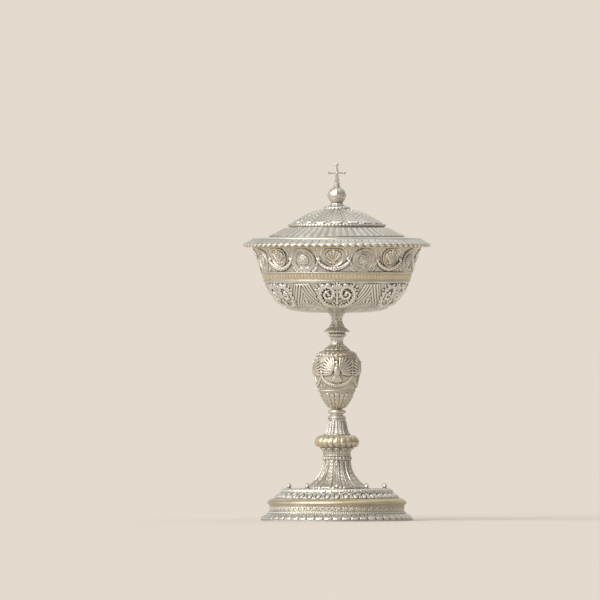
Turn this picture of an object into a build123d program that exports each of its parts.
from build123d import *
import math
import os

# Lidded ciborium: a wide chased cup on a turned stem and stepped round foot, with a
# domed lid that lifts off, an orb and a Latin cross on top.
# Millimetres, +Z up. The origin is the centre of the foot's resting face, and the
# cross faces front, towards -Y.
# Every stacked stem piece is bored for one tie rod, which draws the cup down on the foot.

# ---------------------------------------------------------------- driving dimensions
ROD_R = 3.0  # tie rod radius
BORE_R = 3.06  # running bore of every piece threaded on the tie rod
STUD_R = 1.5  # finial stud radius
STUD_BORE_R = 1.55  # bore of every piece threaded on the finial stud
WALL = 1.2  # sheet thickness of the raised shells

FOOT_R = 76.0  # foot, largest radius
FOOT_TOP_Z = 31.8  # flat top of the foot
FOOT_TOP_R = 54.0
BUD_COUNT = 10  # small bud finials standing on the foot
BUD_RING_R = 50.3
BUD_H = 5.8

CUP_BOTTOM_Z = 208.0  # underside of the cup where it meets the stem
CUP_LIP_Z = 273.4  # top of the cup's lip
CUP_LIP_R = 84.8
MOUTH_R = 74.0  # clear radius of the cup's mouth

MOTIFS = 16  # frieze motifs: head medallions and hung roundels, by turns
MOTIF_TURN = -2.5  # the frieze is set a little round from the cross's front, degrees
MEDALLION_R = 11.4
MEDALLION_Z = 261.6
ROUNDEL_R = 9.8
ROUNDEL_Z = 264.6

LID_SEAT_Z = 273.45  # underside of the lid's rim moulding, at rest on the lip
LID_RIM_R = 93.6  # widest point of the lid
BEZEL_CLEAR = 0.3  # radial clearance between the lid's bezel and the mouth
BEZEL_R = MOUTH_R - BEZEL_CLEAR

ORB_Z = 325.0  # centre of the orb
ORB_R = 9.0
CROSS_FOOT_Z = 337.4
CROSS_ARM_Z = 347.5
CROSS_TOP_Z = 357.0
CROSS_SPAN = 17.8

# Outer line of the cup (radius, z), ornament included: centre of the underside to lip
CUP_OUTLINE = [
    (12.0, 208.0), (32.5, 208.8), (45.5, 210.8), (52.3, 213.2), (57.6, 216.6),
    (62.4, 221.0), (66.6, 226.4), (70.2, 232.6), (72.8, 238.6), (74.6, 244.4),
    (76.3, 250.2), (77.9, 256.0), (79.2, 261.4), (80.6, 266.2), (82.6, 269.8),
    (84.6, 272.1),
]
# Outer line of the lid (radius, z), ornament included: crown down to the edge
LID_OUTLINE = [
    (12.8, 311.6), (20.1, 309.6), (28.4, 306.4), (36.5, 302.2), (43.5, 298.1),
    (49.4, 294.3), (55.7, 290.5), (62.2, 287.2), (68.9, 284.7), (76.2, 283.0),
    (84.9, 281.9),
]
# Outer line of the inner bowl (radius, z), from its flat floor up to the straight mouth
LINER_OUTLINE = [
    (30.0, 213.7), (42.0, 215.2), (50.0, 218.4), (56.8, 223.8), (62.0, 230.4),
    (65.9, 237.4), (68.9, 244.4), (71.4, 251.0), (73.6, 256.6), (MOUTH_R + WALL, 261.5),
]


# ---------------------------------------------------------------- helpers
def save(name, part):
    """Label a piece and write its STEP file."""
    part.label = name
    export_step(part, f"parts/{name}.step")


def smooth(*points):
    """Stretch of an outline: a spline through the points."""
    return Spline, points


def arc(*points):
    """Stretch of an outline: a circular arc through three points."""
    return ThreePointArc, points


def turned(*outline):
    """Solid turned about Z from a closed outline of (radius, z) corners and curved stretches.

    Straight lines join each item to the next, and the last to the first.
    """
    stretches = [item if callable(item[0]) else (None, (item,)) for item in outline]
    with BuildPart() as solid:
        with BuildSketch(Plane.XZ):
            with BuildLine():
                end = stretches[-1][1][-1]
                for curve, points in stretches:
                    if math.dist(end, points[0]) > 0.0001:
                        Line(end, points[0])
                    if curve:
                        curve(*points)
                    end = points[-1]
            make_face()
        revolve(axis=Axis.Z)
    return solid.part


def shifted(points, distance):
    """The polyline moved sideways, to the left of its direction, by distance."""
    moved = []
    for i, (x, y) in enumerate(points):
        x0, y0 = points[max(i - 1, 0)]
        x1, y1 = points[min(i + 1, len(points) - 1)]
        run = math.hypot(x1 - x0, y1 - y0)
        moved.append((x - (y1 - y0) / run * distance, y + (x1 - x0) / run * distance))
    return moved


def between(points, first_z, last_z, steps):
    """Points at even heights on the smooth line through points, found by bisection."""
    with BuildLine(mode=Mode.PRIVATE):
        line = Spline(*points, mode=Mode.PRIVATE)
    rising = points[-1][1] > points[0][1]
    found = []
    for i in range(steps + 1):
        z = first_z + (last_z - first_z) * i / steps
        low, high = 0.0, 1.0
        for _ in range(40):
            middle = (low + high) / 2
            above = (line @ middle).Y > z
            if above == rising:
                high = middle
            else:
                low = middle
        point = line @ ((low + high) / 2)
        found.append((point.X, point.Y))
    return found


def applied_sheet(outline, first_z, last_z, steps, outer, inner):
    """Ring of sheet that follows an outline between two heights.

    Its faces lie outer and inner away from the outline. Inwards is positive on the
    rising cup outline and negative on the falling lid outline.
    """
    line = between(outline, first_z, last_z, steps)
    return turned(smooth(*shifted(line, outer)), smooth(*reversed(shifted(line, inner))))


def wire_ring(ring_radius, z, wire_radius):
    """Ring of round wire about Z."""
    with BuildPart() as ring:
        with BuildSketch(Plane.XZ):
            with Locations((ring_radius, z)):
                Circle(wire_radius)
        revolve(axis=Axis.Z)
    return ring.part


def rod(radius, bottom_z, length, end_chamfer):
    """Plain round rod on Z with both ends chamfered."""
    with BuildPart() as bar:
        with BuildSketch(Plane.XY.offset(bottom_z)):
            Circle(radius)
        extrude(amount=length)
        chamfer(bar.edges().filter_by(GeomType.CIRCLE), length=end_chamfer)
    return bar.part


def hexagon_nut(corner_r, bore_r, bottom_z, height, face_r, turned_r, bevel):
    """Hexagon nut whose corners are turned back to face_r over a height of bevel."""
    top_z = bottom_z + height
    envelope = turned(
        (0, bottom_z), (face_r, bottom_z), (turned_r, bottom_z + bevel),
        (turned_r, top_z - bevel), (face_r, top_z), (0, top_z),
    )
    with BuildPart() as nut:
        with BuildSketch(Plane.XY.offset(bottom_z)):
            RegularPolygon(radius=corner_r, side_count=6)
            Circle(bore_r, mode=Mode.SUBTRACT)
        extrude(amount=height)
        add(envelope, mode=Mode.INTERSECT)
    return nut.part


def radial_plane(degrees):
    """Upright plane 60 from the axis, facing outwards, its Y up and its X anticlockwise."""
    angle = math.radians(degrees)
    return Plane(
        origin=(60 * math.cos(angle), 60 * math.sin(angle), 0),
        x_dir=(-math.sin(angle), math.cos(angle), 0),
        z_dir=(math.cos(angle), math.sin(angle), 0),
    )


os.makedirs("parts", exist_ok=True)

# ---------------------------------------------------------------- foot
# Joints between the stacked rings, from the ground up
PLINTH_TOP_Z = 1.2
LEAF_TOP_Z = 7.2
BEAD_TOP_Z = 8.8
DRUM_TOP_Z = 15.3
CORNICE_TOP_Z = 22.5
EGG_TOP_Z = 28.2
DRUM_INNER_R = 65.4
PLATE_UNDER_Z = 30.0  # underside of the top plate, where the washer bears

save("foot_plinth_ring", turned(
    (68.0, 0), (FOOT_R - 0.3, 0), (FOOT_R, 0.3), (FOOT_R, PLINTH_TOP_Z - 0.3),
    (FOOT_R - 0.3, PLINTH_TOP_Z), (68.0, PLINTH_TOP_Z),
))

save("foot_leaf_moulding", turned(
    smooth(
        (75.3, PLINTH_TOP_Z), (75.1, 2.2), (73.9, 3.6), (71.9, 4.9), (70.2, 6.1),
        (69.4, LEAF_TOP_Z),
    ),
    smooth((66.4, LEAF_TOP_Z), (68.2, 5.0), (70.2, 3.4), (71.6, PLINTH_TOP_Z)),
))

save("foot_bead_ring", turned(
    (DRUM_INNER_R, BEAD_TOP_Z), (DRUM_INNER_R, LEAF_TOP_Z),
    arc((68.1, LEAF_TOP_Z), (68.9, 8.0), (68.1, BEAD_TOP_Z)),
))

save("foot_frieze_drum", turned(
    (DRUM_INNER_R, BEAD_TOP_Z), (67.6, BEAD_TOP_Z), (67.6, 9.3), (67.0, 9.5),
    (67.0, 14.6), (67.6, 14.8), (67.6, DRUM_TOP_Z), (DRUM_INNER_R, DRUM_TOP_Z),
))

save("foot_cornice", turned(
    (DRUM_INNER_R, DRUM_TOP_Z), (68.2, DRUM_TOP_Z), (68.4, 16.2),
    smooth(
        (69.4, 16.7), (69.7, 17.6), (69.2, 19.0), (67.7, 20.6), (65.2, 21.8),
        (62.2, CORNICE_TOP_Z),
    ),
    (58.6, CORNICE_TOP_Z), (58.6, CORNICE_TOP_Z - WALL),
    smooth((62.0, 21.0), (64.6, 20.1), (66.4, 18.6), (67.0, 17.2)),
))

save("foot_egg_moulding", turned(
    smooth(
        (61.9, CORNICE_TOP_Z), (61.1, 23.6), (59.7, 24.8), (58.3, 25.9), (57.0, 27.0),
        (56.2, EGG_TOP_Z),
    ),
    smooth((53.4, EGG_TOP_Z), (55.0, 26.0), (57.4, 24.0), (59.0, CORNICE_TOP_Z)),
))

save("foot_top_plate", turned(
    (BORE_R, FOOT_TOP_Z), (BORE_R, PLATE_UNDER_Z), (52.2, PLATE_UNDER_Z), (52.2, EGG_TOP_Z),
    smooth(
        (55.4, EGG_TOP_Z), (55.7, 29.0), (55.3, 30.2), (54.6, 31.2), (FOOT_TOP_R, FOOT_TOP_Z)
    ),
))

# Turned buds, each standing on its own round base
bud = turned(
    (0, 0), (2.4, 0), (2.4, 0.6),
    smooth((1.7, 0.9), (1.45, 1.3), (2.15, 2.1), (2.3, 3.0), (1.5, 4.5), (0.0, BUD_H)),
)
with BuildPart() as foot_finials:
    with Locations((0, 0, FOOT_TOP_Z)):
        with PolarLocations(BUD_RING_R, BUD_COUNT, start_angle=-90):
            add(bud)
save("foot_finials", foot_finials.part)

# Washer, nut and rod under the top plate
WASHER_THICKNESS = 1.6
NUT_H = 5.2
WASHER_BOTTOM_Z = PLATE_UNDER_Z - WASHER_THICKNESS

with BuildPart() as foot_washer:
    with BuildSketch(Plane.XY.offset(WASHER_BOTTOM_Z)):
        Circle(9.5)
        Circle(BORE_R, mode=Mode.SUBTRACT)
    extrude(amount=WASHER_THICKNESS)
    bottom_edges = foot_washer.edges().filter_by(GeomType.CIRCLE).group_by(Axis.Z)[0]
    chamfer(bottom_edges.sort_by(SortBy.RADIUS)[-1], length=0.4)
save("foot_washer", foot_washer.part)

save("foot_nut", hexagon_nut(
    corner_r=5.8, bore_r=BORE_R, bottom_z=WASHER_BOTTOM_Z - NUT_H, height=NUT_H,
    face_r=5.0, turned_r=6.2, bevel=0.7,
))

save("tie_rod", rod(radius=ROD_R, bottom_z=19.5, length=193.6, end_chamfer=0.5))

# ---------------------------------------------------------------- stem
# Joints between the stacked pieces, from the foot up
SHAFT_TOP_Z = 60.6
LEAF_RING_TOP_Z = 64.0
CAPITAL_TOP_Z = 73.3
COLLAR_TOP_Z = 85.3
CONE_TOP_Z = 102.0
CONE_CAP_TOP_Z = 105.0
KNOP_BASE_TOP_Z = 111.8
KNOP_CUP_TOP_Z = 129.0
KNOP_BAND_TOP_Z = 130.6
KNOP_TOP_Z = 170.4
NECK_LEAVES_TOP_Z = 176.2
SPOOL_TOP_Z = 183.6
NECK_BEAD_TOP_Z = 187.4
FLANGE_TOP_Z = 193.6

save("trumpet_shaft", turned(
    smooth(
        (30.8, FOOT_TOP_Z), (29.9, 33.0), (27.2, 34.9), (23.7, 37.9), (20.2, 41.9),
        (17.0, 46.2), (14.8, 51.0), (13.5, 56.0), (13.0, SHAFT_TOP_Z),
    ),
    (BORE_R, SHAFT_TOP_Z), (BORE_R, 57.6),
    smooth(
        (10.8, 57.6), (12.1, 51.4), (14.8, 45.4), (18.7, 39.8), (23.2, 35.2),
        (27.4, FOOT_TOP_Z),
    ),
))

save("shaft_leaf_ring", turned(
    (BORE_R, LEAF_RING_TOP_Z), (BORE_R, SHAFT_TOP_Z),
    arc((13.1, SHAFT_TOP_Z), (14.4, 62.4), (12.6, LEAF_RING_TOP_Z)),
))

save("shaft_capital", turned(
    smooth(
        (12.6, LEAF_RING_TOP_Z), (12.7, 66.6), (13.4, 69.4), (14.8, 71.8),
        (16.8, CAPITAL_TOP_Z),
    ),
    (BORE_R, CAPITAL_TOP_Z), (BORE_R, 71.6),
    smooth((11.0, 71.6), (10.2, 69.0), (9.9, 66.6), (9.9, LEAF_RING_TOP_Z)),
))

save("gadroon_collar", turned(
    smooth(
        (17.3, CAPITAL_TOP_Z), (19.7, 74.6), (21.3, 76.5), (21.7, 78.6), (20.8, 81.1),
        (18.6, 83.5), (14.8, COLLAR_TOP_Z),
    ),
    (BORE_R, COLLAR_TOP_Z), (BORE_R, 83.7),
    smooth(
        (14.2, 83.7), (17.4, 82.1), (19.2, 80.1), (19.8, 78.4), (19.2, 76.9),
        (17.6, 75.3), (15.0, CAPITAL_TOP_Z),
    ),
))

save("fluted_cone", turned(
    smooth(
        (14.4, COLLAR_TOP_Z), (12.6, 87.2), (11.1, 90.6), (10.1, 94.8), (9.3, 98.4),
        (8.6, CONE_TOP_Z),
    ),
    (BORE_R, CONE_TOP_Z), (BORE_R, 100.0),
    smooth((6.8, 100.0), (7.5, 95.0), (8.6, 90.0), (10.2, COLLAR_TOP_Z)),
))

save("cone_cap_ring", turned(
    (BORE_R, CONE_CAP_TOP_Z), (BORE_R, CONE_TOP_Z),
    arc((8.7, CONE_TOP_Z), (9.2, 103.2), (8.6, 104.2)),
    (6.6, CONE_CAP_TOP_Z),
))

save("knop_base_ring", turned(
    (BORE_R, KNOP_BASE_TOP_Z), (BORE_R, CONE_CAP_TOP_Z), (6.2, CONE_CAP_TOP_Z), (6.2, 106.5),
    smooth((8.0, 107.0), (8.9, 108.0), (9.0, 108.9), (8.7, 109.9), (7.8, 110.6)),
    (5.6, 110.9), (5.2, KNOP_BASE_TOP_Z),
))

save("knop_lower_cup", turned(
    (BORE_R, KNOP_BASE_TOP_Z),
    smooth(
        (5.2, KNOP_BASE_TOP_Z), (8.6, 113.9), (11.6, 117.2), (14.2, 121.1), (16.4, 125.3),
        (18.0, KNOP_CUP_TOP_Z),
    ),
    smooth((16.2, KNOP_CUP_TOP_Z), (14.2, 125.0), (11.8, 121.0), (8.8, 117.2), (6.0, 114.6)),
    (BORE_R, 114.6),
))

save("knop_band", turned(
    (16.2, KNOP_BAND_TOP_Z), (16.2, KNOP_CUP_TOP_Z),
    arc((18.2, KNOP_CUP_TOP_Z), (18.95, 129.8), (18.2, KNOP_BAND_TOP_Z)),
))

save("knop_upper_shell", turned(
    smooth(
        (18.3, KNOP_BAND_TOP_Z), (20.1, 135.6), (21.4, 141.0), (22.2, 147.0), (22.5, 153.0),
        (22.1, 158.8), (20.8, 163.8), (17.8, 168.0), (13.0, KNOP_TOP_Z),
    ),
    (BORE_R, KNOP_TOP_Z), (BORE_R, 168.6),
    smooth(
        (12.4, 168.6), (16.6, 166.4), (19.1, 162.8), (20.4, 158.0), (20.8, 152.6),
        (20.5, 147.2), (19.7, 141.6), (18.4, 136.0), (16.6, KNOP_BAND_TOP_Z),
    ),
))

save("knop_neck_leaves", turned(
    (BORE_R, NECK_LEAVES_TOP_Z), (BORE_R, KNOP_TOP_Z),
    smooth(
        (12.9, KNOP_TOP_Z), (12.0, 171.4), (9.8, 172.9), (8.0, 174.6),
        (7.1, NECK_LEAVES_TOP_Z),
    ),
))

save("neck_spool", turned(
    (BORE_R, SPOOL_TOP_Z), (BORE_R, NECK_LEAVES_TOP_Z),
    smooth((6.6, NECK_LEAVES_TOP_Z), (6.2, 179.0), (6.4, 181.6), (7.3, SPOOL_TOP_Z)),
))

save("neck_bead_ring", turned(
    (BORE_R, NECK_BEAD_TOP_Z), (BORE_R, SPOOL_TOP_Z),
    arc((7.6, SPOOL_TOP_Z), (9.4, 185.5), (7.6, NECK_BEAD_TOP_Z)),
))

save("neck_flange", turned(
    (BORE_R, FLANGE_TOP_Z), (BORE_R, NECK_BEAD_TOP_Z), (8.4, NECK_BEAD_TOP_Z), (9.0, 188.1),
    arc((11.8, 188.2), (12.8, 189.2), (11.8, 190.2)),
    smooth((11.8, 190.2), (10.2, 191.2), (8.8, 192.3), (8.0, FLANGE_TOP_Z)),
))

save("bowl_support_neck", turned(
    (BORE_R, CUP_BOTTOM_Z), (BORE_R, FLANGE_TOP_Z),
    smooth(
        (7.5, FLANGE_TOP_Z), (6.0, 195.8), (5.2, 199.0), (5.2, 201.6), (5.8, 204.2),
        (7.2, 206.4), (9.8, CUP_BOTTOM_Z),
    ),
))

# ---------------------------------------------------------------- cup
SHELL_SINK = 1.3  # depth of the shells below their outline, to take the applied ornament
SHEET_OUTER = 0.3  # depth of the faces of the calyx and band below the cup's outline
SHEET_INNER = 1.25
CUP_FLOOR_Z = CUP_BOTTOM_Z + WALL
LINER_FLOOR_Z = 213.5
CALYX_LEAVES = 16

# Block between the outer and inner bowls, with a blind bore for the end of the tie rod
save("cup_boss", turned(
    (0, 213.4), (10.0, 213.4), (11.0, 212.4), (11.0, CUP_FLOOR_Z), (BORE_R, CUP_FLOOR_Z),
    (BORE_R, 213.15), (0, 213.15),
))

# The chased outer bowl: plain below, then sunk under the ornament
ornament_line = between(CUP_OUTLINE, 213.3, 270.1, 16)
shell_low = CUP_OUTLINE[:3] + [(51.3, 212.75)]
shell_sunk = shifted(ornament_line, SHELL_SINK)
shell_inner = shifted(CUP_OUTLINE[1:3] + ornament_line, SHELL_SINK + WALL)
save("cup_shell", turned(
    (BORE_R, CUP_BOTTOM_Z),
    smooth(*shell_low),
    smooth(*shell_sunk),
    smooth(*reversed(shell_inner)),
    (14.0, CUP_FLOOR_Z), (BORE_R, CUP_FLOOR_Z),
))

# The plain inner bowl, with a straight mouth and a flat lip that covers the outer bowl's edge
liner_inner = shifted(LINER_OUTLINE, WALL)
liner_inner[-1] = (MOUTH_R, 261.8)
lip_flat_r = CUP_LIP_R - WALL / 2
save("cup_liner", turned(
    (0, LINER_FLOOR_Z), (28.0, LINER_FLOOR_Z),
    smooth(*LINER_OUTLINE),
    (MOUTH_R + WALL, CUP_LIP_Z - WALL),
    arc(
        (lip_flat_r, CUP_LIP_Z - WALL), (CUP_LIP_R, CUP_LIP_Z - WALL / 2),
        (lip_flat_r, CUP_LIP_Z),
    ),
    (MOUTH_R + 0.3, CUP_LIP_Z), (MOUTH_R, CUP_LIP_Z - 0.3),
    smooth(*reversed(liner_inner)),
    (28.0, LINER_FLOOR_Z + WALL), (0, LINER_FLOOR_Z + WALL),
))

# Applied calyx: broad leaves raised in one sheet, notched between their tips
calyx_sheet = applied_sheet(CUP_OUTLINE, 213.6, 238.4, 10, SHEET_OUTER, SHEET_INNER)
with BuildPart() as calyx_leaves:
    add(calyx_sheet)
    for i in range(CALYX_LEAVES):
        with BuildSketch(radial_plane((i + 0.5) * 360 / CALYX_LEAVES)):
            with BuildLine():
                Polyline((-4.2, 240.0), (0, 232.0), (4.2, 240.0), close=True)
            make_face()
        extrude(amount=20, mode=Mode.SUBTRACT)
save("calyx_leaves", calyx_leaves.part)

save("lower_cup_wire", wire_ring(72.7, 239.4, 0.8))
save("cup_band", applied_sheet(CUP_OUTLINE, 240.2, 246.9, 4, SHEET_OUTER, SHEET_INNER))
save("upper_cup_wire", wire_ring(75.25, 247.9, 0.8))

# The frieze's ground sheet, and the ring its applied castings are cut from
FRIEZE_BOTTOM_Z = 248.9
FRIEZE_TOP_Z = 271.0
CASTING_REACH = 30  # castings are extruded outwards this far, through the ring

save("cup_frieze", applied_sheet(
    CUP_OUTLINE, FRIEZE_BOTTOM_Z, FRIEZE_TOP_Z, 10, 0.75, SHEET_INNER
))
casting_ring = applied_sheet(CUP_OUTLINE, FRIEZE_BOTTOM_Z, FRIEZE_TOP_Z, 10, 0.0, 0.7)


def motif_plane(index):
    """Plane facing out through frieze motif index, its X to the viewer's right."""
    return radial_plane(-90 + MOTIF_TURN + index * 360 / MOTIFS)


def round_castings(first, centre_z, radius):
    """Round castings at every second motif from first, cut to the cup's curve."""
    with BuildPart() as castings:
        for i in range(first, MOTIFS, 2):
            with BuildSketch(motif_plane(i)):
                with Locations((0, centre_z)):
                    Circle(radius)
            extrude(amount=CASTING_REACH)
        add(casting_ring, mode=Mode.INTERSECT)
    return castings.part


save("head_medallions", round_castings(1, MEDALLION_Z, MEDALLION_R))
save("hung_roundels", round_castings(0, ROUNDEL_Z, ROUNDEL_R))

# Swags, each hung below a roundel between two medallions
with BuildPart() as frieze_swags:
    for i in range(0, MOTIFS, 2):
        with BuildSketch(motif_plane(i)):
            with BuildLine():
                ThreePointArc((-14.4, 257.6), (0, 250.2), (14.4, 257.6))
                Line((14.4, 257.6), (13.0, 260.2))
                ThreePointArc((13.0, 260.2), (0, 253.4), (-13.0, 260.2))
                Line((-13.0, 260.2), (-14.4, 257.6))
            make_face()
        extrude(amount=CASTING_REACH)
    add(casting_ring, mode=Mode.INTERSECT)
save("frieze_swags", frieze_swags.part)

# ---------------------------------------------------------------- lid
RIM_INNER_R = MOUTH_R - 0.2
RIM_SHEET_TOP_Z = 274.7  # top of the rim moulding's flat underside sheet
DOME_EDGE_R = 84.9

save("lid_rim_moulding", turned(
    (80.0, 281.4), (80.0, 280.2),
    smooth((83.8, 280.2), (86.3, 278.5), (88.8, 277.0), (90.9, 275.9), (91.4, RIM_SHEET_TOP_Z)),
    (RIM_INNER_R, RIM_SHEET_TOP_Z), (RIM_INNER_R, LID_SEAT_Z),
    smooth(
        (91.6, LID_SEAT_Z), (93.1, 274.0), (LID_RIM_R, 275.0), (92.9, 276.3),
        (90.6, 277.8), (87.7, 279.6), (DOME_EDGE_R, 281.4),
    ),
))

save("lid_bezel", turned(
    (BEZEL_R, 280.0), (BEZEL_R, 266.4), (BEZEL_R - 0.4, 266.0), (BEZEL_R - WALL, 266.0),
    (BEZEL_R - WALL, 281.2), (79.9, 281.2), (79.9, 280.0),
))

# The raised dome: sunk under its applied ornament, plain towards the edge
dome_outer = shifted(LID_OUTLINE[:9], -SHELL_SINK) + [(77.0, 282.6), (DOME_EDGE_R, 281.95)]
dome_inner = shifted(LID_OUTLINE[:9], -SHELL_SINK - WALL) + [(77.0, 281.45)]
save("lid_dome", turned(
    (STUD_BORE_R, 310.5),
    smooth(*dome_outer),
    (DOME_EDGE_R, 281.45),
    smooth(*reversed(dome_inner)),
    (STUD_BORE_R, 309.2),
))

save("lid_tongue_band", applied_sheet(LID_OUTLINE, 292.9, 285.0, 6, -0.25, -1.2))
save("lid_cord_ring", wire_ring(47.8, 295.2, 1.05))
save("lid_leaf_cap", applied_sheet(LID_OUTLINE, 311.2, 296.8, 8, -0.25, -1.2))

# ---------------------------------------------------------------- finial
FINIAL_BOTTOM_Z = 310.6
FINIAL_COLLAR_TOP_Z = 314.6
ORB_SEAT_R = ORB_R + 0.1  # sphere of the hollow that the orb rests in
ORB_BAND_HALF_H = 0.7
ORB_FIT = 0.05  # clearance of the strap from the orb and its band
STRAP_W = 1.8
STRAP_OUTER_R = ORB_R + 0.75
NUT_TOP_Z = 308.0  # top of the small nut and underside of its washer
SMALL_NUT_H = 3.0

save("finial_collar", turned(
    (STUD_BORE_R, FINIAL_COLLAR_TOP_Z), (STUD_BORE_R, FINIAL_BOTTOM_Z),
    smooth(
        (12.2, FINIAL_BOTTOM_Z), (12.9, 311.6), (12.7, 312.8), (11.2, 314.0),
        (9.0, FINIAL_COLLAR_TOP_Z),
    ),
))


def orb_seat(radius):
    """Point of the orb's seat at a radius from the axis."""
    return (radius, ORB_Z - math.sqrt(ORB_SEAT_R**2 - radius**2))


save("finial_neck", turned(
    (STUD_BORE_R, FINIAL_COLLAR_TOP_Z),
    smooth((8.2, FINIAL_COLLAR_TOP_Z), (7.0, 315.4), (6.2, 316.6), (6.0, 317.7)),
    arc(orb_seat(5.4), orb_seat(3.6), orb_seat(STUD_BORE_R)),
))


def orb_half(cut_z, keep):
    """Hollow bored orb, cut off level at cut_z from its centre."""
    with BuildPart() as half:
        Sphere(ORB_R)
        Sphere(ORB_R - WALL, mode=Mode.SUBTRACT)
        Cylinder(STUD_BORE_R, 30, mode=Mode.SUBTRACT)
        split(bisect_by=Plane.XY.offset(cut_z), keep=keep)
    return half.part.moved(Location((0, 0, ORB_Z)))


save("orb_lower", orb_half(-ORB_BAND_HALF_H, Keep.BOTTOM))
save("orb_upper", orb_half(ORB_BAND_HALF_H, Keep.TOP))

save("orb_band", turned(
    (7.8, ORB_Z + ORB_BAND_HALF_H), (7.8, ORB_Z - ORB_BAND_HALF_H),
    arc((9.4, ORB_Z - ORB_BAND_HALF_H), (9.8, ORB_Z), (9.4, ORB_Z + ORB_BAND_HALF_H)),
))

# Half hoop over the upper half of the orb, front to back, parted by the stud's bore
with BuildPart() as orb_strap:
    with BuildSketch(Plane.YZ.offset(-STRAP_W / 2)):
        with Locations((0, ORB_Z)):
            Circle(STRAP_OUTER_R)
            Circle(ORB_R + ORB_FIT, mode=Mode.SUBTRACT)
        # clears everything below the top of the band
        with Locations((0, ORB_Z + ORB_BAND_HALF_H + ORB_FIT - 10)):
            Rectangle(30, 20, mode=Mode.SUBTRACT)
    extrude(amount=STRAP_W)
    with Locations((0, 0, ORB_Z)):
        Cylinder(STUD_BORE_R, 40, mode=Mode.SUBTRACT)
save("orb_strap", orb_strap.part)

save("cross_socket", turned(
    (STUD_BORE_R, CROSS_FOOT_Z), (STUD_BORE_R, 334.85), (3.4, 334.85), (3.2, 335.4),
    (2.5, 335.9), (2.5, 336.3), (3.1, 336.5), (3.1, 337.1), (2.8, CROSS_FOOT_Z),
))

# Latin cross with slightly spread ends, its foot bored for the stud
CROSS_THICKNESS = 2.8
CROSS_FOOT_W = 4.8
CROSS_FOOT_DEPTH = 4.4
CROSS_FOOT_H = 3.8
half_span = CROSS_SPAN / 2
# Right half of the cross (x, z), from foot to top
cross_right = [
    (CROSS_FOOT_W / 2, CROSS_FOOT_Z), (2.15, 342.0), (1.5, CROSS_ARM_Z - 1.2),
    (half_span - 2.4, CROSS_ARM_Z - 1.1), (half_span, CROSS_ARM_Z - 1.7),
    (half_span, CROSS_ARM_Z + 1.7), (half_span - 2.4, CROSS_ARM_Z + 1.1),
    (1.4, CROSS_ARM_Z + 1.2), (1.25, CROSS_TOP_Z - 2.4), (1.8, CROSS_TOP_Z),
]
cross_left = [(-x, z) for x, z in reversed(cross_right)]
with BuildPart() as cross:
    with BuildSketch(Plane.XZ.offset(CROSS_THICKNESS / 2)):
        with BuildLine():
            Polyline(*cross_right, *cross_left, close=True)
        make_face()
    extrude(amount=-CROSS_THICKNESS)
    with Locations((0, 0, CROSS_FOOT_Z + CROSS_FOOT_H / 2)):
        Box(CROSS_FOOT_W, CROSS_FOOT_DEPTH, CROSS_FOOT_H)
    with Locations((0, 0, 339.4)):
        Cylinder(STUD_BORE_R, 4.01, mode=Mode.SUBTRACT)
save("cross", cross.part)

save("finial_stud", rod(radius=STUD_R, bottom_z=302.6, length=38.6, end_chamfer=0.3))

with BuildPart() as finial_washer:
    with BuildSketch(Plane.XY.offset(NUT_TOP_Z)):
        Circle(6.0)
        Circle(STUD_BORE_R, mode=Mode.SUBTRACT)
    extrude(amount=1.0)
save("finial_washer", finial_washer.part)

save("finial_nut", hexagon_nut(
    corner_r=3.6, bore_r=STUD_BORE_R, bottom_z=NUT_TOP_Z - SMALL_NUT_H, height=SMALL_NUT_H,
    face_r=3.1, turned_r=3.8, bevel=0.4,
))
